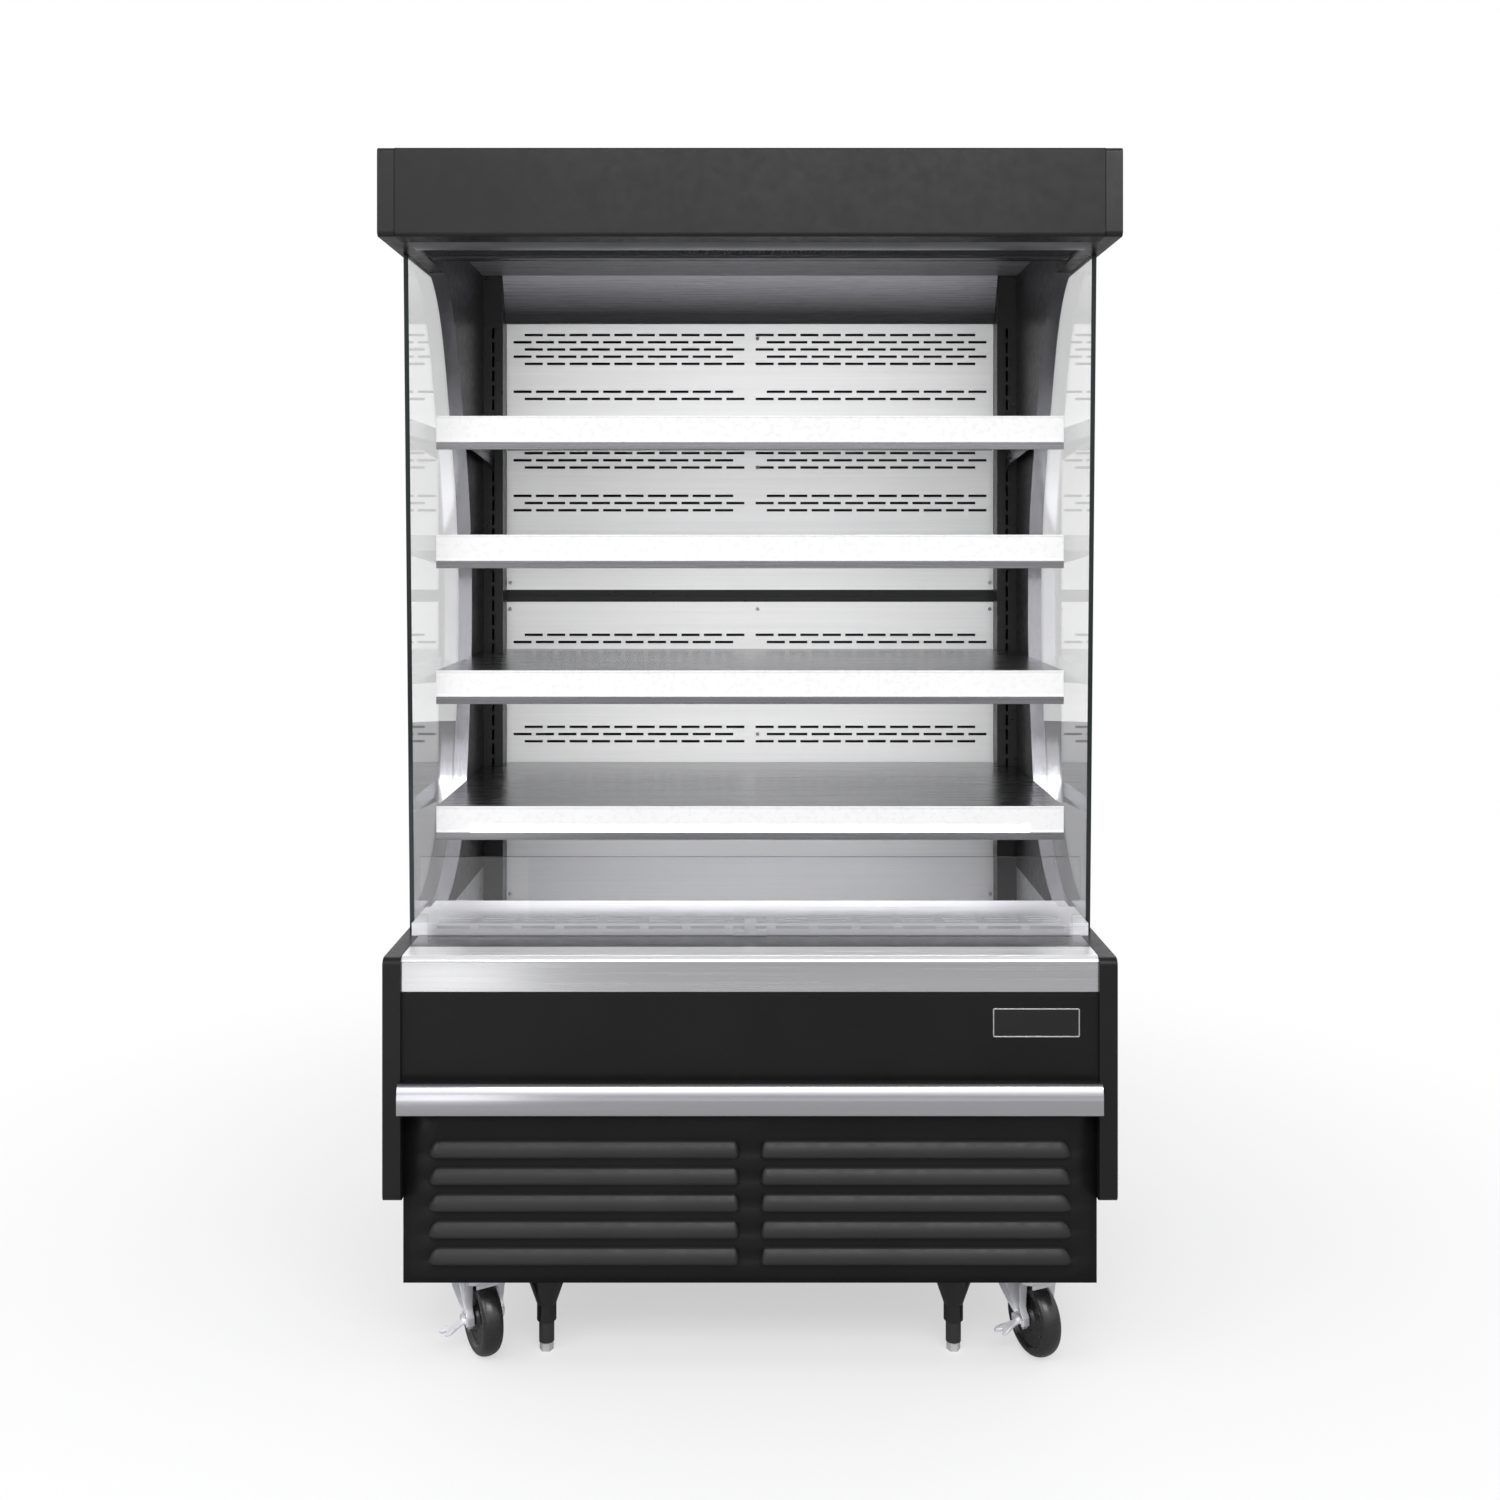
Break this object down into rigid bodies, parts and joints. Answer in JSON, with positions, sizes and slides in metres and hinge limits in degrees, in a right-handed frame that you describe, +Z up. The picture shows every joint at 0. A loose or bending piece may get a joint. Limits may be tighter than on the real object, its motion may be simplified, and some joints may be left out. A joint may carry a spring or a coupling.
{
  "type": "open multideck display fridge",
  "caption": "Self-contained open-front display fridge with lift-out shelves, night curtain, side glass, louvered base, braked casters and levelling feet.",
  "frame": {"origin": "middle of the cabinet's width and depth, on the floor", "axes": "+Z up, -Y towards the shopper at the open front, +X to the right seen from the front"},
  "size_m": [1.215, 0.889, 2.032],
  "materials": {
    "black_paint": "satin black powder coat",
    "dark_plastic": "smooth black end cap",
    "stainless": "brushed stainless sheet",
    "galvanised": "galvanised sheet",
    "zinc": "bright zinc plate",
    "post_black": "matt black",
    "foam_panel": "insulated panel with dark grey lining",
    "ticket_white": "smooth white strip",
    "bumper": "satin anodised rail",
    "glass": "clear toughened glass",
    "acrylic": "clear acrylic",
    "diffuser": "opal diffuser",
    "grille_white": "moulded grille",
    "curtain": "woven curtain on its roller",
    "bar_alu": "satin extrusion",
    "tread": "grey-black rubber tread",
    "pedal": "pressed steel pedal",
    "coil": "finned block",
    "can": "black enamel can",
    "copper": "drawn copper tube",
    "fan_plastic": "moulded fan",
    "box_grey": "grey enamel",
    "button": "push button",
    "badge": "plain brushed plate"
  },
  "bodies": {
    "cabinet": {"base_frame": "galvanised", "side_skins": "black_paint", "claddings": "dark_plastic", "louver_panel": "black_paint", "front_panel": "black_paint", "badge_plate": "badge", "bumper_rail": "bumper", "deck_nosing": "stainless", "insulated_tub": "foam_panel", "rear_grille": "galvanised", "back_wall": "foam_panel", "end_walls": "foam_panel", "end_wall_trims": "stainless", "side_glass": "glass", "upper_back_panel": "stainless", "lower_back_panel": "stainless", "wall_uprights": "post_black", "return_grille": "stainless", "deck_pans": "stainless", "front_guard": "acrylic", "curtain_catch": "ticket_white", "canopy_fascia": "black_paint", "roof_panel": "foam_panel", "canopy_caps": "dark_plastic", "ceiling_panel": "post_black", "discharge_grille": "grille_white", "canopy_lamp": "diffuser", "curtain_cassette": "bar_alu", "condenser_coil": "coil", "condenser_shroud": "galvanised", "compressor": "can", "evaporator_coil": "coil", "refrigerant_pipes": "copper", "control_box": "box_grey", "panel_screws": "zinc"},
    "curtain_roll": {"curtain_roll": "curtain"},
    "curtain_bar": {"curtain_bar": "bar_alu"},
    "condenser_fan": {"condenser_fan": "fan_plastic"},
    "evaporator_blower": {"evaporator_blower": "fan_plastic"},
    "lamp_switch": {"lamp_switch": "button"},
    "shelf_1": {"shelf_1": "stainless", "shelf_1_ticket_strip": "ticket_white"},
    "shelf_2": {"shelf_2": "stainless", "shelf_2_ticket_strip": "ticket_white"},
    "shelf_3": {"shelf_3": "stainless", "shelf_3_ticket_strip": "ticket_white"},
    "shelf_4": {"shelf_4": "stainless", "shelf_4_ticket_strip": "ticket_white"},
    "caster_fork_front_left": {"caster_fork_front_left": "zinc"},
    "caster_wheel_front_left": {"caster_wheel_front_left": "tread"},
    "brake_lever_front_left": {"brake_lever_front_left": "pedal"},
    "caster_fork_front_right": {"caster_fork_front_right": "zinc"},
    "caster_wheel_front_right": {"caster_wheel_front_right": "tread"},
    "brake_lever_front_right": {"brake_lever_front_right": "pedal"},
    "caster_fork_rear_left": {"caster_fork_rear_left": "zinc"},
    "caster_wheel_rear_left": {"caster_wheel_rear_left": "tread"},
    "caster_fork_rear_right": {"caster_fork_rear_right": "zinc"},
    "caster_wheel_rear_right": {"caster_wheel_rear_right": "tread"},
    "levelling_foot_left": {"levelling_foot_left": "zinc"},
    "levelling_foot_right": {"levelling_foot_right": "zinc"}
  },
  "joints": [
    {"name": "curtain_pull", "type": "slide", "parent": "cabinet", "child": "curtain_bar", "axis": [0, 0, -1], "range_m": [0, 1.16], "stiffness_N_per_m": 30, "springref_m": -0.5},
    {"name": "curtain_roll_turn", "type": "hinge", "parent": "cabinet", "child": "curtain_roll", "pos_m": [0, -0.2333, 1.9283], "axis": [1, 0, 0], "range_deg": [0, 3420]},
    {"name": "condenser_fan_spin", "type": "hinge", "parent": "cabinet", "child": "condenser_fan", "pos_m": [-0.2, -0.2298, 0.279], "axis": [0, 1, 0], "continuous": true},
    {"name": "blower_spin", "type": "hinge", "parent": "cabinet", "child": "evaporator_blower", "pos_m": [0, 0.0645, 0.535], "axis": [1, 0, 0], "continuous": true},
    {"name": "lamp_switch_push", "type": "slide", "parent": "cabinet", "child": "lamp_switch", "axis": [0, -1, 0], "range_m": [0, 0.003], "stiffness_N_per_m": 300, "springref_m": -0.003},
    {"name": "shelf_1_lift", "type": "slide", "parent": "cabinet", "child": "shelf_1", "axis": [0, 0, 1], "range_m": [0, 0.012]},
    {"name": "shelf_2_lift", "type": "slide", "parent": "cabinet", "child": "shelf_2", "axis": [0, 0, 1], "range_m": [0, 0.012]},
    {"name": "shelf_3_lift", "type": "slide", "parent": "cabinet", "child": "shelf_3", "axis": [0, 0, 1], "range_m": [0, 0.012]},
    {"name": "shelf_4_lift", "type": "slide", "parent": "cabinet", "child": "shelf_4", "axis": [0, 0, 1], "range_m": [0, 0.012]},
    {"name": "caster_swivel_front_left", "type": "hinge", "parent": "cabinet", "child": "caster_fork_front_left", "pos_m": [-0.474, -0.2885, 0.144], "axis": [0, 0, 1], "continuous": true},
    {"name": "wheel_spin_front_left", "type": "hinge", "parent": "caster_fork_front_left", "child": "caster_wheel_front_left", "pos_m": [-0.458, -0.31621, 0.0635], "axis": [0.866, 0.5, 0], "continuous": true},
    {"name": "brake_press_front_left", "type": "hinge", "parent": "caster_fork_front_left", "child": "brake_lever_front_left", "pos_m": [-0.48398, -0.33121, 0.0635], "axis": [0.5, -0.866, 0], "range_deg": [-28, 0]},
    {"name": "caster_swivel_front_right", "type": "hinge", "parent": "cabinet", "child": "caster_fork_front_right", "pos_m": [0.474, -0.2885, 0.144], "axis": [0, 0, 1], "continuous": true},
    {"name": "wheel_spin_front_right", "type": "hinge", "parent": "caster_fork_front_right", "child": "caster_wheel_front_right", "pos_m": [0.4865, -0.31796, 0.0635], "axis": [0.9205, 0.3907, 0], "continuous": true},
    {"name": "brake_press_front_right", "type": "hinge", "parent": "caster_fork_front_right", "child": "brake_lever_front_right", "pos_m": [0.45889, -0.32968, 0.0635], "axis": [0.3907, -0.9205, 0], "range_deg": [-28, 0]},
    {"name": "caster_swivel_rear_left", "type": "hinge", "parent": "cabinet", "child": "caster_fork_rear_left", "pos_m": [-0.474, 0.3345, 0.144], "axis": [0, 0, 1], "continuous": true},
    {"name": "wheel_spin_rear_left", "type": "hinge", "parent": "caster_fork_rear_left", "child": "caster_wheel_rear_left", "pos_m": [-0.45997, 0.36326, 0.0635], "axis": [-0.8988, 0.4384, 0], "continuous": true},
    {"name": "caster_swivel_rear_right", "type": "hinge", "parent": "cabinet", "child": "caster_fork_rear_right", "pos_m": [0.474, 0.3345, 0.144], "axis": [0, 0, 1], "continuous": true},
    {"name": "wheel_spin_rear_right", "type": "hinge", "parent": "caster_fork_rear_right", "child": "caster_wheel_rear_right", "pos_m": [0.49096, 0.36164, 0.0635], "axis": [-0.848, 0.5299, 0], "continuous": true},
    {"name": "foot_screw_left", "type": "slide", "parent": "cabinet", "child": "levelling_foot_left", "axis": [0, 0, 1], "range_m": [0, 0.02]},
    {"name": "foot_screw_right", "type": "slide", "parent": "cabinet", "child": "levelling_foot_right", "axis": [0, 0, 1], "range_m": [0, 0.02]}
  ],
  "couplings": [
    {"joint": "curtain_roll_turn", "follows": "curtain_pull", "rad_per_m": 51.282}
  ]
}
